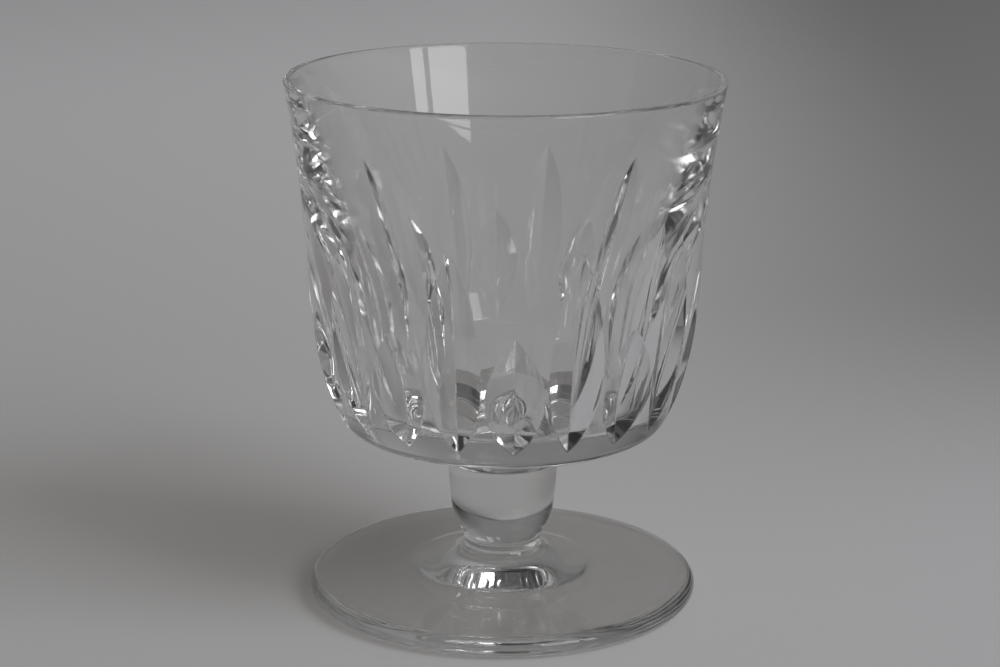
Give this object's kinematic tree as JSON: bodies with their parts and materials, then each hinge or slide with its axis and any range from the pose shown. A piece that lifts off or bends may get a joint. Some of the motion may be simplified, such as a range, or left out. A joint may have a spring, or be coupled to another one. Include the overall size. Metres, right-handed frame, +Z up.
{
  "type": "wine glass",
  "caption": "Short-stemmed white wine glass in clear cut crystal: near-straight bowl with a belt of leaf cuts, solid stub stem and round foot.",
  "frame": {"origin": "centre of the plane that the foot rests on, on the glass's axis", "axes": "+Z up along the axis from the foot to the rim; -Y is the front, where a short leaf is centred"},
  "size_m": [0.0752, 0.0752, 0.0922],
  "materials": {
    "crystal": "colourless lead crystal, fire polished, with polished wheel cuts"
  },
  "bodies": {
    "root": {"foot": "crystal", "stem": "crystal", "bowl": "crystal"}
  },
  "joints": []
}
